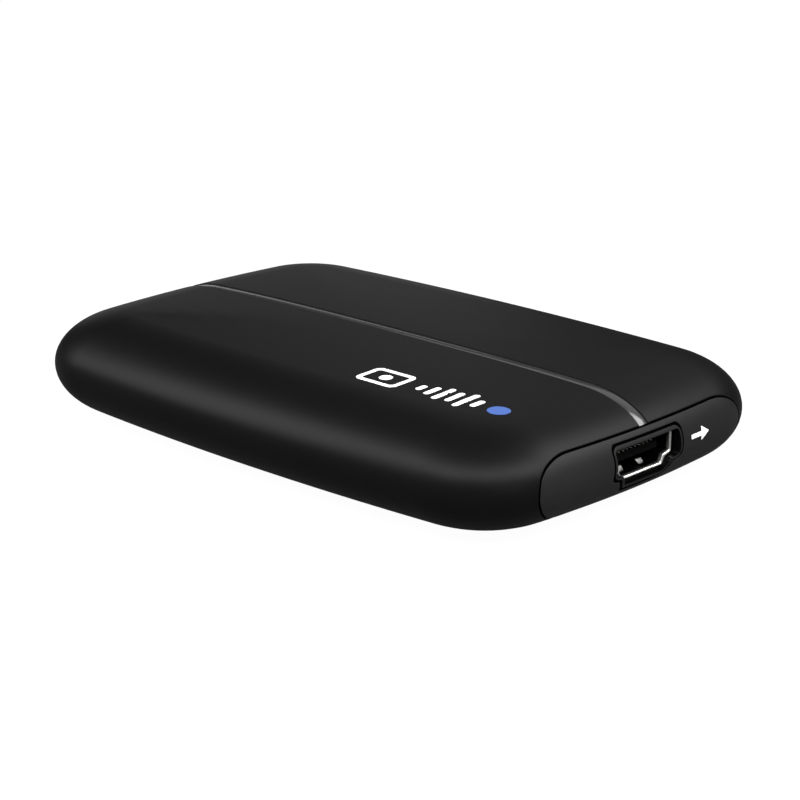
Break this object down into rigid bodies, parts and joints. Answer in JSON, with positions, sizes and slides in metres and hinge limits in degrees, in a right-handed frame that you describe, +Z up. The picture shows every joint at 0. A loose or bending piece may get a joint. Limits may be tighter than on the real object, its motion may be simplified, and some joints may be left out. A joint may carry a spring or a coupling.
{
  "type": "video capture box",
  "caption": "Pillow-shaped matte black video capture box with a light guide sunk along its top, a video output socket in one end and input sockets in the other.",
  "frame": {"origin": "centre of the footprint, on the surface that the feet stand on", "axes": "+X along the length towards the output end, +Y across, +Z up"},
  "size_m": [0.1119, 0.075, 0.0189],
  "materials": {
    "housing_black": "soft-touch matte black",
    "plate_black": "fine matte black",
    "guide_smoke": "dark smoked gloss",
    "foot_rubber": "plain rubber",
    "zinc_steel": "zinc plated",
    "nickel_steel": "nickel plated",
    "socket_black": "moulded black",
    "contact_gold": "gold flash",
    "board_green": "green solder mask",
    "chip_black": "moulded epoxy",
    "pad_grey": "soft filled silicone",
    "sink_aluminium": "extruded",
    "ferrite_grey": "pressed ferrite",
    "capacitor_tan": "moulded",
    "passive_brown": "fired",
    "lamp_white": "clear-capped"
  },
  "bodies": {
    "root": {"main_housing": "housing_black", "bottom_cover": "housing_black", "front_end_plate": "plate_black", "rear_end_plate": "plate_black", "video_out_surround": "plate_black", "video_in_surround": "plate_black", "light_guide": "guide_smoke", "rubber_feet": "foot_rubber", "case_screws": "zinc_steel", "board_screws": "zinc_steel", "video_out_shell": "nickel_steel", "video_in_shell": "nickel_steel", "data_shell": "nickel_steel", "crystals": "nickel_steel", "video_out_insulator": "socket_black", "video_in_insulator": "socket_black", "data_tongue": "socket_black", "audio_jack_body": "socket_black", "video_out_contacts": "contact_gold", "video_in_contacts": "contact_gold", "data_contacts": "contact_gold", "audio_jack_terminals": "contact_gold", "main_board": "board_green", "video_processor": "chip_black", "receiver_chip": "chip_black", "splitter_chip": "chip_black", "bridge_chip": "chip_black", "memory_chips": "chip_black", "flash_chip": "chip_black", "codec_chip": "chip_black", "thermal_pad": "pad_grey", "heat_sink": "sink_aluminium", "inductors": "ferrite_grey", "capacitors": "capacitor_tan", "passives": "passive_brown", "status_lights": "lamp_white"}
  },
  "joints": []
}
